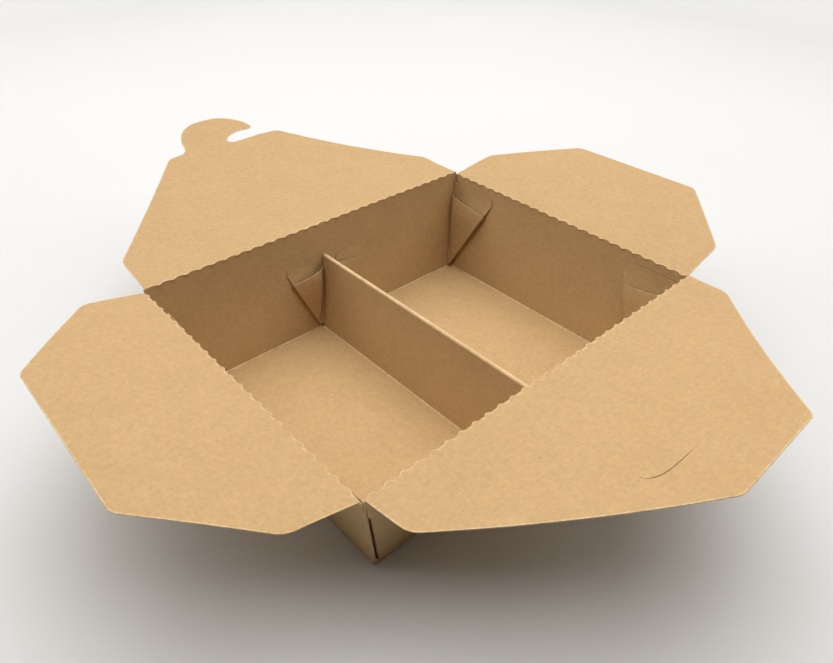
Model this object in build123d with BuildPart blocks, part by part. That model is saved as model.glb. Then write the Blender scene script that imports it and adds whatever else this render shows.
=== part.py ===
from build123d import *
from math import asin, atan, cos, degrees, radians, sin, sqrt, tan
import os

# Open takeaway box of kraft board with two compartments: a tapered tray with
# folded-in corner gussets, a tent-shaped divider glued into it, and four lid
# flaps that swing on wavy perforated creases along the tray's top edges.
# Millimetres, +Z up. The origin is the centre of the tray's underside, X runs
# along the long side and Y across.

# ---------------------------------------------------------------- dimensions
board = 0.5                 # thickness of the folded board
top_length = 199.5          # between the short walls' mid-planes at the rim
top_width = 156.5           # between the long walls' mid-planes at the rim
taper_x = 12.0              # how far each short wall leans out
taper_y = 10.0              # how far each long wall leans out
rim_height = 57.5           # height of the creases of the hook and slit flaps
dust_drop = 1.2             # the short walls' creases lie this much lower
layer_pitch = 0.8           # spacing of the folded layers in a gusset

wave_height = 0.8           # half height of the wavy perforation
wave_room = 0.25            # clearance at the wave's roots
wave_gap = 0.25             # half the clearance between neighbouring waves
wave_flank = 0.45           # lean of a wave's flank over its half height
long_waves, long_pitch = 29, 6.70
short_waves, short_pitch = 23, 6.60

divider_x = -4.0            # the divider's crest
divider_foot = 8.4          # half width of the tent at the floor
divider_height = 41.4

hook_angle = 8.5            # how far each open flap stands above level
slit_angle = 11.2
left_angle = 8.4
right_angle = 9.0
slit_curl = 300.0           # radius of the slit flap's upward curl

# --------------------------------------------------------------- derived
half_x, half_y = top_length / 2, top_width / 2
foot_x, foot_y = half_x - taper_x, half_y - taper_y
lean_x, lean_y = atan(taper_x / rim_height), atan(taper_y / rim_height)
dust_height = rim_height - dust_drop


def wall_x(z):
    """Mid-plane of a short wall at height z."""
    return foot_x + taper_x * z / rim_height


def wall_y(z):
    """Mid-plane of a long wall at height z."""
    return foot_y + taper_y * z / rim_height


dust_x = wall_x(dust_height)


def long_plane(side):
    """Mid-plane of the long wall at +Y or -Y, its normal pointing in."""
    return Plane(
        origin=(0, side * foot_y, 0),
        x_dir=(side, 0, 0),
        z_dir=(0, -side * cos(lean_y), sin(lean_y)),
    )


def short_plane(side):
    """Mid-plane of the short wall at +X or -X, its normal pointing in."""
    return Plane(
        origin=(side * foot_x, 0, 0),
        x_dir=(0, -side, 0),
        z_dir=(-side * cos(lean_x), 0, sin(lean_x)),
    )


def up_y(z):
    """Distance up a long wall's slope."""
    return z / cos(lean_y)


def up_x(z):
    """Distance up a short wall's slope."""
    return z / cos(lean_x)


def waves(count, pitch, at, sign, shift):
    """The wavy edge from left to right: sign +1 rises above the crease."""
    low = -(wave_height + wave_room)
    out = wave_flank * (wave_height + wave_room) / wave_height
    points = []
    for i in range(count):
        a = -count * pitch / 2 + i * pitch + shift + wave_gap
        b = a + pitch / 2 - 2 * wave_gap
        points += [
            (a - out, at + sign * low),
            (a + wave_flank, at + sign * wave_height),
            (b - wave_flank, at + sign * wave_height),
            (b + out, at + sign * low),
        ]
    return points


def wall_waves(count, pitch, at):
    return waves(count, pitch, at, 1, 0.0)


def flap_waves(count, pitch):
    return waves(count, pitch, 0.0, -1, pitch / 2)


root = wave_height + wave_room

# ---------------------------------------------------------------- the tray
rim = up_y(rim_height)
end_low, end_high = 1.6, 0.75      # where a long wall stops, beside the gusset
end_turn = 52.4

long_wall = (
    [(-(wall_x(0) - end_low), 0)]
    + [(-(wall_x(end_turn) - end_low), up_y(end_turn))]
    + [(-(wall_x(end_turn + 0.4) - end_high), up_y(end_turn + 0.4))]
    + [(-(wall_x(rim_height - 1) - end_high), rim - root)]
    + wall_waves(long_waves, long_pitch, rim)
    + [(wall_x(rim_height - 1) - end_high, rim - root)]
    + [(wall_x(end_turn + 0.4) - end_high, up_y(end_turn + 0.4))]
    + [(wall_x(end_turn) - end_low, up_y(end_turn))]
    + [(wall_x(0) - end_low, 0)]
)

dust_rim = up_x(dust_height)
end_out = board / 2
short_wall = (
    [(-(wall_y(0) + end_out), 0)]
    + [(-(wall_y(dust_height - 1) + end_out), dust_rim - root)]
    + wall_waves(short_waves, short_pitch, dust_rim)
    + [(wall_y(dust_height - 1) + end_out, dust_rim - root)]
    + [(wall_y(0) + end_out, 0)]
)

# Corner gusset, as (y, z) on the short wall: a back layer folded round the
# wall's end, turned over at a slanting fold, and a front layer that runs into
# the long wall.
gusset_foot = (wall_y(0.3), 0.3)
gusset_turn = (49.0, 39.3)
back_layer = [
    (wall_y(0.3) + end_out, 0.3),
    gusset_foot,
    gusset_turn,
    (45.3, 47.0),
    (45.7, 49.4),
    (47.6, 51.0),
    (50.5, 51.5),
    (wall_y(51.5) + end_out, 51.5),
]
front_layer = [
    (wall_y(0.3) + end_out, 0.3),
    gusset_foot,
    gusset_turn,
    (49.9, 40.5),
    (60.6, 41.7),
    (72.5, 43.9),
    (wall_y(44.4) + end_out, 44.4),
]
corner_fold = [
    (wall_y(0.3) + end_out, 0.3),
    (wall_y(51.5) + end_out, 51.5),
    (wall_y(51.5) + end_out - board, 51.5),
    (wall_y(0.3) + end_out - board, 0.3),
]
slant_fold = [
    gusset_foot,
    gusset_turn,
    (gusset_turn[0] + 0.62, gusset_turn[1] + 0.29),
    (gusset_foot[0] + 0.62, gusset_foot[1] + 0.29),
]

with BuildPart() as tray:
    with BuildSketch(Plane.XY):
        Rectangle(2 * foot_x, 2 * foot_y)
    extrude(amount=board)
    for side in (1, -1):
        with BuildSketch(long_plane(side)):
            with BuildLine():
                Polyline(*long_wall, close=True)
            make_face()
        extrude(amount=board / 2, both=True)
        with BuildSketch(short_plane(side)):
            with BuildLine():
                Polyline(*short_wall, close=True)
            make_face()
        extrude(amount=board / 2, both=True)
        for hand in (1, -1):
            for outline, start, thick in (
                (back_layer, layer_pitch - board / 2, board),
                (front_layer, 2 * layer_pitch - board / 2, board),
                (corner_fold, 0.0, layer_pitch),
                (slant_fold, layer_pitch, layer_pitch),
            ):
                with BuildSketch(short_plane(side).offset(start)):
                    with BuildLine():
                        Polyline(
                            *[(hand * y, up_x(z)) for y, z in outline], close=True
                        )
                    make_face()
                extrude(amount=thick)
    split(bisect_by=Plane.XY, keep=Keep.TOP)
tray.part.label = "tray"

# ------------------------------------------------------------- the divider
# One sheet: a flange on each compartment's floor, two panels that rise to a
# folded crest, and at each end of each panel a two-layer gusset on the wall.
flange_end = 87.3
panel_run = divider_foot - 0.45


def panel_edge(z):
    """How far the panel's outer face stands from the crest's plane."""
    return divider_foot - panel_run * (z - 2 * board) / (divider_height - 1.3)


wall_room = 0.65            # the sheet's ends stop this far from a wall's middle
tent = [
    (-flange_end, 2 * board),
    (divider_x - divider_foot, 2 * board),
    (divider_x - 0.45, divider_height - 0.3),
    (divider_x - 0.16, divider_height),
    (divider_x + 0.16, divider_height),
    (divider_x + 0.45, divider_height - 0.3),
    (divider_x + divider_foot, 2 * board),
    (flange_end, 2 * board),
    (flange_end, board),
    (divider_x + divider_foot - 0.42, board),
    (divider_x, divider_height - 2.1),
    (divider_x - divider_foot + 0.42, board),
    (-flange_end, board),
]
end_back = [
    (-panel_edge(1.0) + 0.25, 1.0),
    (-panel_edge(1.0) - 0.6, 1.0),
    (-22.1, 31.6),
    (-24.4, 37.2),
    (-24.0, 38.7),
    (-22.7, 39.4),
    (-panel_edge(36.8) + 0.25, 36.8),
]
end_front = [
    (-panel_edge(1.0) + 0.25, 1.0),
    (-panel_edge(1.0) - 0.6, 1.0),
    (-22.1, 31.6),
    (-19.9, 32.2),
    (-panel_edge(34.8) + 0.25, 34.8),
]
end_fold = [
    (-panel_edge(1.0) - 0.6, 1.0),
    (-22.1, 31.6),
    (-21.5, 31.85),
    (-panel_edge(1.0) + 0.05, 1.25),
]

with BuildPart() as divider:
    with BuildSketch(Plane.XZ):
        with BuildLine():
            Polyline(*tent, close=True)
        make_face()
    extrude(amount=half_y + 5, both=True)
    for side in (1, -1):
        split(bisect_by=long_plane(side).offset(wall_room), keep=Keep.TOP)
    with BuildSketch(Plane.XY):
        for sx in (1, -1):
            for sy in (1, -1):
                with BuildLine():
                    Polyline(
                        (sx * 88.0, sy * 68.6),
                        (sx * 84.2, sy * 68.6),
                        (sx * 88.0, sy * 64.8),
                        close=True,
                    )
                make_face()
    extrude(amount=3, mode=Mode.SUBTRACT)
    for side in (1, -1):
        for hand in (1, -1):
            for outline, start, thick in (
                (end_back, 0.5, board),
                (end_front, 0.5 + layer_pitch, board),
                (end_fold, 0.5 + board / 2, layer_pitch),
            ):
                with BuildSketch(long_plane(side).offset(start)):
                    with BuildLine():
                        Polyline(
                            *[
                                (side * (divider_x + hand * x), up_y(z))
                                for x, z in outline
                            ],
                            close=True,
                        )
                    make_face()
                extrude(amount=thick)
divider.part.label = "divider"

# ---------------------------------------------------------------- the flaps


def flap_plane(along, out, at, angle):
    """A flap's plane: X along its crease, Y outwards, Z up."""
    a = radians(angle)
    u, o = Vector(*along), Vector(*out)
    v = o * cos(a) + Vector(0, 0, 1) * sin(a)
    return Plane(origin=at, x_dir=along, z_dir=u.cross(v))


def near(points, reach=2.0):
    """Picks the corners of a sketch that lie near the given points."""
    return lambda v: any(
        abs(v.X - x) < reach and abs(v.Y - y) < reach for x, y in points
    )


# Hook flap, on the long wall at +Y. Its tip carries the hook that goes
# through the slit of the opposite flap.
hook_base, hook_bump, hook_tip, hook_depth = 98.6, (98.7, 27.0), 36.8, 101.6
hook_outline = (
    [(-hook_base, root)]
    + flap_waves(long_waves, long_pitch)
    + [
        (hook_base, root),
        hook_bump,
        (hook_tip, hook_depth + 0.6),
        (24.6, hook_depth + 0.2),
        (12.0, hook_depth - 0.8),
        (6.0, hook_depth - 1.1),
        (3.4, hook_depth + 0.6),
        (3.0, hook_depth + 3.6),
        (4.2, hook_depth + 6.3),
        (8.0, hook_depth + 9.0),
        (13.9, hook_depth + 10.2),
        (20.8, hook_depth + 10.2),
        (24.2, hook_depth + 12.4),
        (22.2, hook_depth + 17.6),
        (17.0, hook_depth + 23.0),
        (9.6, hook_depth + 27.2),
        (1.0, hook_depth + 28.6),
        (-7.0, hook_depth + 27.6),
        (-14.0, hook_depth + 24.0),
        (-19.0, hook_depth + 18.8),
        (-22.2, hook_depth + 12.0),
        (-24.4, hook_depth + 4.4),
        (-26.4, hook_depth + 2.2),
        (-hook_tip, hook_depth),
        (-hook_bump[0], hook_bump[1]),
    ]
)
hook_plane = flap_plane((1, 0, 0), (0, 1, 0), (0, half_y, rim_height), hook_angle)
with BuildPart() as hook_flap:
    with BuildSketch(hook_plane) as hook_sketch:
        with BuildLine():
            Polyline(*hook_outline, close=True)
        make_face()
        fillet(
            hook_sketch.vertices().filter_by(
                near([hook_bump, (-hook_bump[0], hook_bump[1])])
            ),
            9.0,
        )
        fillet(
            hook_sketch.vertices().filter_by(
                near([(hook_tip, hook_depth + 0.6), (-hook_tip, hook_depth)])
            ),
            6.0,
        )
    extrude(amount=board / 2, both=True)
hook_flap.part.label = "hook_flap"

# Slit flap, on the long wall at -Y. It curls up a little towards its tip, so
# its plane is the chord from the crease to the tip.
slit_base, slit_bump, slit_tip, slit_depth = 98.6, (98.3, 20.3), 25.0, 84.0
slit_outline = (
    [(-slit_base, root)]
    + flap_waves(long_waves, long_pitch)
    + [
        (slit_base, root),
        slit_bump,
        (slit_tip, slit_depth),
        (-slit_tip, slit_depth),
        (-slit_bump[0], slit_bump[1]),
    ]
)
cut = 0.2                   # half the width of the lock's slit
slit_cut = [
    (33.8 + cut, 54.2),
    (32.2 + cut, 57.3 + cut),
    (28.3, 59.8 + cut),
    (22.0, 60.6 + cut),
    (14.8, 60.8 + cut),
    (-29.0, 61.6 + cut),
    (-45.0, 61.6 + cut),
    (-45.0, 61.6 - cut),
    (-29.0, 61.6 - cut),
    (14.8, 60.8 - cut),
    (22.0, 60.6 - cut),
    (28.3 - cut, 59.8 - cut),
    (32.2 - cut, 57.3 - cut),
    (33.8 - cut, 54.2),
]
slit_plane = flap_plane((-1, 0, 0), (0, -1, 0), (0, -half_y, rim_height), slit_angle)
slit_side = Plane(
    origin=slit_plane.origin, x_dir=slit_plane.y_dir, z_dir=slit_plane.x_dir
)
mid = slit_depth / 2
rise = sqrt(slit_curl**2 - mid**2)


def curl(v, radius):
    return rise - sqrt(radius**2 - (v - mid) ** 2)


with BuildPart() as slit_flap:
    with BuildSketch(slit_side):
        with BuildLine():
            r_up, r_low = slit_curl - board / 2, slit_curl + board / 2
            upper = ThreePointArc(
                (-3, curl(-3, r_up)),
                (mid, curl(mid, r_up)),
                (slit_depth + 3, curl(slit_depth + 3, r_up)),
            )
            lower = ThreePointArc(
                (-3, curl(-3, r_low)),
                (mid, curl(mid, r_low)),
                (slit_depth + 3, curl(slit_depth + 3, r_low)),
            )
            Line(upper @ 0, lower @ 0)
            Line(upper @ 1, lower @ 1)
        make_face()
    extrude(amount=half_x + 2, both=True)
    with BuildSketch(slit_plane) as slit_sketch:
        with BuildLine():
            Polyline(*slit_outline, close=True)
        make_face()
        fillet(
            slit_sketch.vertices().filter_by(
                near([slit_bump, (-slit_bump[0], slit_bump[1])])
            ),
            9.0,
        )
        fillet(
            slit_sketch.vertices().filter_by(
                near([(slit_tip, slit_depth), (-slit_tip, slit_depth)])
            ),
            6.0,
        )
    extrude(amount=12, both=True, mode=Mode.INTERSECT)
    with BuildSketch(slit_plane):
        with BuildLine():
            Polyline(*slit_cut, close=True)
        make_face()
    extrude(amount=12, both=True, mode=Mode.SUBTRACT)
slit_flap.part.label = "slit_flap"


# Dust flaps, on the short walls. They close first, under the other two.
def dust_outline(base, bump, tip, depth):
    return (
        [(-base, root)]
        + flap_waves(short_waves, short_pitch)
        + [(base, root), bump, (tip, depth), (-tip, depth), (-bump[0], bump[1])]
    )


left_base, left_bump, left_tip, left_depth = 77.3, (77.0, 27.0), 40.0, 62.6
with BuildPart() as left_dust_flap:
    with BuildSketch(
        flap_plane((0, 1, 0), (-1, 0, 0), (-dust_x, 0, dust_height), left_angle)
    ) as left_sketch:
        with BuildLine():
            Polyline(
                *dust_outline(left_base, left_bump, left_tip, left_depth), close=True
            )
        make_face()
        fillet(
            left_sketch.vertices().filter_by(
                near([left_bump, (-left_bump[0], left_bump[1])])
            ),
            9.0,
        )
        fillet(
            left_sketch.vertices().filter_by(
                near([(left_tip, left_depth), (-left_tip, left_depth)])
            ),
            7.0,
        )
    extrude(amount=board / 2, both=True)
left_dust_flap.part.label = "left_dust_flap"

right_base, right_bump, right_tip, right_depth = 77.3, (77.0, 29.6), 39.6, 72.6
with BuildPart() as right_dust_flap:
    with BuildSketch(
        flap_plane((0, -1, 0), (1, 0, 0), (dust_x, 0, dust_height), right_angle)
    ) as right_sketch:
        with BuildLine():
            Polyline(
                *dust_outline(right_base, right_bump, right_tip, right_depth),
                close=True,
            )
        make_face()
        fillet(
            right_sketch.vertices().filter_by(
                near([right_bump, (-right_bump[0], right_bump[1])])
            ),
            9.0,
        )
        fillet(
            right_sketch.vertices().filter_by(
                near([(right_tip, right_depth), (-right_tip, right_depth)])
            ),
            7.0,
        )
    extrude(amount=board / 2, both=True)
right_dust_flap.part.label = "right_dust_flap"

# ---------------------------------------------------------------- write out
os.makedirs("parts", exist_ok=True)
export_step(tray.part, "parts/tray.step")
export_step(divider.part, "parts/divider.step")
export_step(hook_flap.part, "parts/hook_flap.step")
export_step(slit_flap.part, "parts/slit_flap.step")
export_step(left_dust_flap.part, "parts/left_dust_flap.step")
export_step(right_dust_flap.part, "parts/right_dust_flap.step")
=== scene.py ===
import math

import bmesh
import bpy
import numpy as np
from mathutils import Matrix, Vector, geometry


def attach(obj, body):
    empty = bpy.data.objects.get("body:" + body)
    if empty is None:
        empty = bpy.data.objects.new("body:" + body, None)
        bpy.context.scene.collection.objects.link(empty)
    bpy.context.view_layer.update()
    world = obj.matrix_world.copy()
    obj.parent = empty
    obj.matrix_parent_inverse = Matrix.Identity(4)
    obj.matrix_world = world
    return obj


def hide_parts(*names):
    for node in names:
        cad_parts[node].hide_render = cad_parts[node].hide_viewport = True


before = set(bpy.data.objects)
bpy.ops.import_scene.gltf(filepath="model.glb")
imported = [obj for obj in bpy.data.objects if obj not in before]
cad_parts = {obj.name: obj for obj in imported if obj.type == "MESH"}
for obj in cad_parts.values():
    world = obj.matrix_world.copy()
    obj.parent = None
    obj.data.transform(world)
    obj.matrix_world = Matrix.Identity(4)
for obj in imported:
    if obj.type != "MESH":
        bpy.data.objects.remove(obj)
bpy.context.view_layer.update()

# ------------------------------------------------------------------ sizes
# Millimetres in the frame of the CAD model; meshes are written in metres.
MM = 0.001
T = 0.5                                  # board thickness
HALF_X, HALF_Y, RIM = 99.75, 78.25, 57.5
TAPER_X, TAPER_Y = 12.0, 10.0
FOOT_X, FOOT_Y = HALF_X - TAPER_X, HALF_Y - TAPER_Y
LEAN_X, LEAN_Y = math.atan(TAPER_X / RIM), math.atan(TAPER_Y / RIM)
DUST = RIM - 1.2
LONG_N, LONG_P = 29, 6.70
SHORT_N, SHORT_P = 23, 6.60
WAVE, WAVE_MID = 0.85, -0.25             # half height and middle of the wavy cut
FACE, PAINTED_HIGHLIGHT, EDGE_AND_HIGHLIGHT = 0, 1, 2             # material indices of a board: plain face; folds painted paler as a highlight; cut edge, also used for painted highlight bands on the flaps


def wall_x(z):
    return FOOT_X + TAPER_X * z / RIM


def wall_y(z):
    return FOOT_Y + TAPER_Y * z / RIM


DUST_X = wall_x(DUST)


def unit(v):
    v = np.asarray(v, float)
    return v / np.linalg.norm(v)


class Sheet2:
    """A plane with its own two axes and a normal."""

    def __init__(self, origin, x, n):
        self.o, self.x, self.n = np.asarray(origin, float), unit(x), unit(n)
        self.y = np.cross(self.n, self.x)

    def offset(self, d):
        return Sheet2(self.o + self.n * d, self.x, self.n)

    def at(self, uv):
        uv = np.asarray(uv, float).reshape(-1, 2)
        return self.o + uv[:, :1] * self.x + uv[:, 1:] * self.y

    def place(self, uv):
        p = self.at(uv)
        return p, np.repeat(self.n[None], len(p), 0)

    def local(self, p):
        d = np.asarray(p, float).reshape(-1, 3) - self.o
        return np.stack([d @ self.x, d @ self.y], 1)


def long_plane(side):
    return Sheet2(
        (0, side * FOOT_Y, 0),
        (side, 0, 0),
        (0, -side * math.cos(LEAN_Y), math.sin(LEAN_Y)),
    )


def short_plane(side):
    return Sheet2(
        (side * FOOT_X, 0, 0),
        (0, -side, 0),
        (-side * math.cos(LEAN_X), 0, math.sin(LEAN_X)),
    )


def up_y(z):
    return z / math.cos(LEAN_Y)


def up_x(z):
    return z / math.cos(LEAN_X)


# ------------------------------------------------------------------ outlines
def wave(x, n, p):
    """The wavy cut: above zero the board of the wall stands up."""
    s = math.sin(2 * math.pi * (x + n * p / 2) / p)
    return WAVE_MID + WAVE * math.copysign(abs(s) ** 0.75, s)


def wave_line(n, p, reach, side, per=12):
    """The wavy edge from -reach to reach; side -1 for the wall, 1 for the flap.
    The valleys of both are cut less deep than the teeth that lie over them."""
    end = n * p / 2
    out = [(-reach, side * 0.12)]
    for i in range(n * per + 1):
        x = -end + i * p / per
        y = wave(x, n, p)
        if side < 0:
            y = 0.10 + (0.4 * y if y > 0 else 0.75 * y)
        else:
            y = 0.05 + (y if y < 0.15 else 0.15 + 0.2 * (y - 0.15))
        out.append((x, y))
    out.append((reach, side * 0.12))
    return out


def rounded(points, arc=8):
    """A closed outline from (x, y) or (x, y, radius) corners."""
    out, m = [], len(points)
    for i, q in enumerate(points):
        p = np.array(q[:2], float)
        r = q[2] if len(q) > 2 else 0.0
        if r <= 0:
            out.append(tuple(p))
            continue
        a = unit(np.array(points[i - 1][:2], float) - p)
        b = unit(np.array(points[(i + 1) % m][:2], float) - p)
        half = math.acos(max(-1.0, min(1.0, float(a @ b)))) / 2
        d = r / math.tan(half)
        c = p + unit(a + b) * r / math.sin(half)
        s, e = p + a * d - c, p + b * d - c
        a0, a1 = math.atan2(s[1], s[0]), math.atan2(e[1], e[0])
        turn = (a1 - a0 + math.pi) % (2 * math.pi) - math.pi
        for k in range(arc + 1):
            t = a0 + turn * k / arc
            out.append((c[0] + r * math.cos(t), c[1] + r * math.sin(t)))
    return out


def smooth(points, per=6):
    """A smooth open line through the points."""
    p = [np.array(q, float) for q in points]
    p = [2 * p[0] - p[1]] + p + [2 * p[-1] - p[-2]]
    out = []
    for i in range(1, len(p) - 2):
        for k in range(per):
            t = k / per
            a, b, c, d = p[i - 1 : i + 3]
            out.append(
                tuple(
                    0.5
                    * (
                        2 * b
                        + (c - a) * t
                        + (2 * a - 5 * b + 4 * c - d) * t * t
                        + (3 * b - a - 3 * c + d) * t**3
                    )
                )
            )
    out.append(tuple(p[-2]))
    return out


def inside(poly, pts):
    """Which points lie inside a closed outline."""
    poly, pts = np.asarray(poly, float), np.asarray(pts, float)
    x, y = pts[:, 0], pts[:, 1]
    hit = np.zeros(len(pts), bool)
    for (x0, y0), (x1, y1) in zip(poly, np.roll(poly, -1, 0)):
        if y0 == y1:
            continue
        cross = (y0 > y) != (y1 > y)
        hit ^= cross & (x < (x1 - x0) * (y - y0) / (y1 - y0) + x0)
    return hit


def clearance(poly, pts):
    """Distance from each point to a closed outline."""
    poly, pts = np.asarray(poly, float), np.asarray(pts, float)
    best = np.full(len(pts), 1e9)
    for a, b in zip(poly, np.roll(poly, -1, 0)):
        d = b - a
        n = float(d @ d)
        t = np.clip((pts - a) @ d / n, 0, 1) if n > 0 else np.zeros(len(pts))
        best = np.minimum(best, np.linalg.norm(pts - a - t[:, None] * d, axis=1))
    return best


def unsliver(uv, tris, outline):
    """Keeps the facets inside the outline. Facets as thin as a line, between
    border points in a row, are merged into the facet beside them."""

    def long_edge(t):
        size = [float(np.linalg.norm(uv[t[(k + 1) % 3]] - uv[t[k]])) for k in range(3)]
        k = size.index(max(size))
        a, c, b = t[k], t[(k + 1) % 3], t[(k + 2) % 3]
        return a, c, b

    side = [np.linalg.norm(uv[tris[:, (k + 1) % 3]] - uv[tris[:, k]], axis=1) for k in range(3)]
    e, f = uv[tris[:, 1]] - uv[tris[:, 0]], uv[tris[:, 2]] - uv[tris[:, 0]]
    height = np.abs(e[:, 0] * f[:, 1] - e[:, 1] * f[:, 0]) / np.maximum(np.max(side, 0), 1e-9)
    thin = height < 5e-4
    keep = inside(outline, uv[tris].mean(1)) & ~thin
    tris = [[int(i) for i in t] for t in tris]
    owner = {(t[k], t[(k + 1) % 3]): i for i, t in enumerate(tris) for k in range(3)}
    more = True
    while more:
        more = False
        for i in np.flatnonzero(thin):
            a, c, b = long_edge(tris[i])
            j = owner.get((c, a))
            if j is None or not keep[j]:
                continue
            d = next(x for x in tris[j] if x not in (a, c))
            tris[i], tris[j] = [a, d, b], [d, c, b]
            thin[i], keep[i] = False, True
            for q in (i, j):
                for k in range(3):
                    owner[(tris[q][k], tris[q][(k + 1) % 3])] = q
            more = True
    return np.array([t for t, k in zip(tris, keep) if k], int)


# ------------------------------------------------------------------ boards
class Board:
    """Collects the parts of one folded board and welds them into a mesh."""

    def __init__(self):
        self.v, self.f, self.m, self.n = [], [], [], 0

    def add(self, verts, faces, mats):
        self.v.append(np.asarray(verts, float).reshape(-1, 3))
        self.f += [[i + self.n for i in face] for face in faces]
        self.m += list(mats)
        self.n += len(self.v[-1])

    def plate(
        self, outline, place, holes=(), step=6.0, lines=(), open_edge=None, mat=None,
        low_mat=None, bevel=0.0, edge=EDGE_AND_HIGHLIGHT,
    ):
        """A flat or curved panel. lines are extra edges kept in the mesh,
        open_edge says which border edges join on to another part, mat and
        low_mat pick the material indices of facets on the upper and the lower
        face from their middles, and bevel is how far the faces drop at the cut
        border."""
        loops = [list(outline)] + [list(h) for h in holes]
        pts, edges = [], []
        for loop in loops:
            s = len(pts)
            pts += loop
            edges += [(s + i, s + (i + 1) % len(loop)) for i in range(len(loop))]
        for line in lines:
            s = len(pts)
            pts += list(line)
            edges += [(s + i, s + i + 1) for i in range(len(line) - 1)]
        o = np.asarray(outline, float)
        lo, hi = o.min(0), o.max(0)
        gx = np.arange(lo[0] + step / 2, hi[0], step)
        gy = np.arange(lo[1] + step / 2, hi[1], step)
        if len(gx) and len(gy):
            grid = np.stack(np.meshgrid(gx, gy), -1).reshape(-1, 2)
            grid[:, 0] += np.where(
                np.round((grid[:, 1] - lo[1]) / step) % 2 == 0, 0, step / 2
            )
            keep = inside(o, grid) & (clearance(o, grid) > step * 0.3)
            for h in holes:
                keep &= ~inside(h, grid) & (clearance(h, grid) > step * 0.3)
            for line in lines:
                l = np.asarray(line, float)
                d = np.min(
                    np.linalg.norm(grid[:, None] - l[None, ::3], axis=2), axis=1
                )
                keep &= d > step * 0.3
            pts = pts + [tuple(p) for p in grid[keep]]
        v, _, tris, _, _, _ = geometry.delaunay_2d_cdt(
            [Vector(p) for p in pts], edges, [], 1, 1e-6, True
        )
        uv = np.array([(p.x, p.y) for p in v], float)
        tris = np.array([list(f) for f in tris], int)
        a, b, c = (uv[tris[:, i]] for i in range(3))
        area = (b[:, 0] - a[:, 0]) * (c[:, 1] - a[:, 1]) - (b[:, 1] - a[:, 1]) * (
            c[:, 0] - a[:, 0]
        )
        if area.sum() < 0:
            tris = tris[:, ::-1]
        tris = unsliver(uv, tris, o)
        mid = uv[tris].mean(1)
        for h in holes:
            keep = ~inside(h, mid)
            tris, mid = tris[keep], mid[keep]
        p, nrm = place(uv)
        k = len(uv)
        seen = {}
        for t in tris:
            for i in range(3):
                e = (int(t[i]), int(t[(i + 1) % 3]))
                if (e[1], e[0]) in seen:
                    del seen[(e[1], e[0])]
                else:
                    seen[e] = True
        joined, cut = [], []
        for e in seen:
            meets = open_edge is not None and open_edge(uv[e[0]], uv[e[1]])
            (joined if meets else cut).append(e)
        thick = np.full((k, 1), T / 2)
        if bevel:
            rim = {i for e in cut for i in e} - {i for e in joined for i in e}
            rim = np.array(sorted(rim))
            thick[rim[clearance(o, uv[rim]) < 1e-3]] -= bevel
        verts = np.concatenate([p + nrm * thick, p - nrm * thick])
        faces = [list(t) for t in tris] + [[i + k for i in t[::-1]] for t in tris]
        kinds = [FACE] * len(mid) if mat is None else [int(q) for q in mat(mid)]
        mats = kinds + (kinds if low_mat is None else [int(q) for q in low_mat(mid)])
        for i, j in cut:
            faces.append([i + k, j + k, j, i])
            mats.append(edge((uv[i] + uv[j]) / 2) if callable(edge) else edge)
        self.add(verts, faces, mats)

    def strip(
        self, p, nrm, mat=PAINTED_HIGHLIGHT, closed=(True, True, False, False), lift=None, edge=EDGE_AND_HIGHLIGHT
    ):
        """A curved strip on a grid of points; closed says which of its first,
        last, left and right borders are cut edges."""
        m, k = p.shape[:2]
        up = T / 2 if lift is None else T / 2 + np.asarray(lift, float)[:, :, None]
        top, low = (p + nrm * up).reshape(-1, 3), (p - nrm * T / 2).reshape(-1, 3)
        s = m * k
        faces, mats = [], []
        for i in range(m - 1):
            for j in range(k - 1):
                q = [i * k + j, i * k + j + 1, (i + 1) * k + j + 1, (i + 1) * k + j]
                w = mat(i, j) if callable(mat) else mat
                faces += [q, [x + s for x in q[::-1]]]
                mats += [w, w]
        rows = []
        if closed[0]:
            rows.append([j for j in range(k)])
        if closed[1]:
            rows.append([(m - 1) * k + j for j in range(k)])
        if closed[2] is not False:
            rows.append([i * k for i in range(m)])
        if closed[3] is not False:
            rows.append([i * k + k - 1 for i in range(m)])
        flags = [c for c in closed if c is not False]
        for row, flag in zip(rows, flags):
            for i, (a, b) in enumerate(zip(row, row[1:])):
                if callable(flag) and not flag(i):
                    continue
                faces.append([a, b, b + s, a + s])
                mats.append(edge)
        self.add(np.concatenate([top, low]), faces, mats)

    def bend(self, line, out, n, r, turn, steps=7, bead=0.0, **kw):
        """A fold of radius r from a border line, turning towards n, with a
        bead pressed up along the inside of its score. Returns the line where
        the fold ends."""
        line, n, d = np.asarray(line, float), unit(n), unit(out)
        e = np.cross(d, n)
        p, nn = [], []
        for j in range(steps + 1):
            a = turn * j / steps
            rot = np.array(Matrix.Rotation(a, 3, Vector(e)))
            p.append(line + n * r - (rot @ n) * r)
            nn.append(np.repeat((rot @ n)[None], len(line), 0))
        p, nn = np.stack(p, 1), np.stack(nn, 1)
        far = np.linalg.norm(line - line[0], axis=1)
        fade = np.clip(np.minimum(far, far[-1] - far) / 6.0, 0, 1)
        lift = bead * fade[:, None] * np.sin(np.linspace(0, math.pi, steps + 1)) ** 2
        self.strip(p, nn, lift=lift, **kw)
        return p[:, -1]

    def warp(self, field, start=0):
        """Moves every part added since start by a smooth field."""
        done = 0
        for i, v in enumerate(self.v):
            if done >= start:
                self.v[i] = v + field(v)
            done += len(v)

    def turned(self):
        """The same parts turned half round the upright axis, added on."""
        v = np.concatenate(self.v) * np.array([-1.0, -1.0, 1.0])
        faces, mats, k = [list(f) for f in self.f], list(self.m), self.n
        self.v.append(v)
        self.f += [[i + k for i in f] for f in faces]
        self.m += mats
        self.n += len(v)

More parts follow.
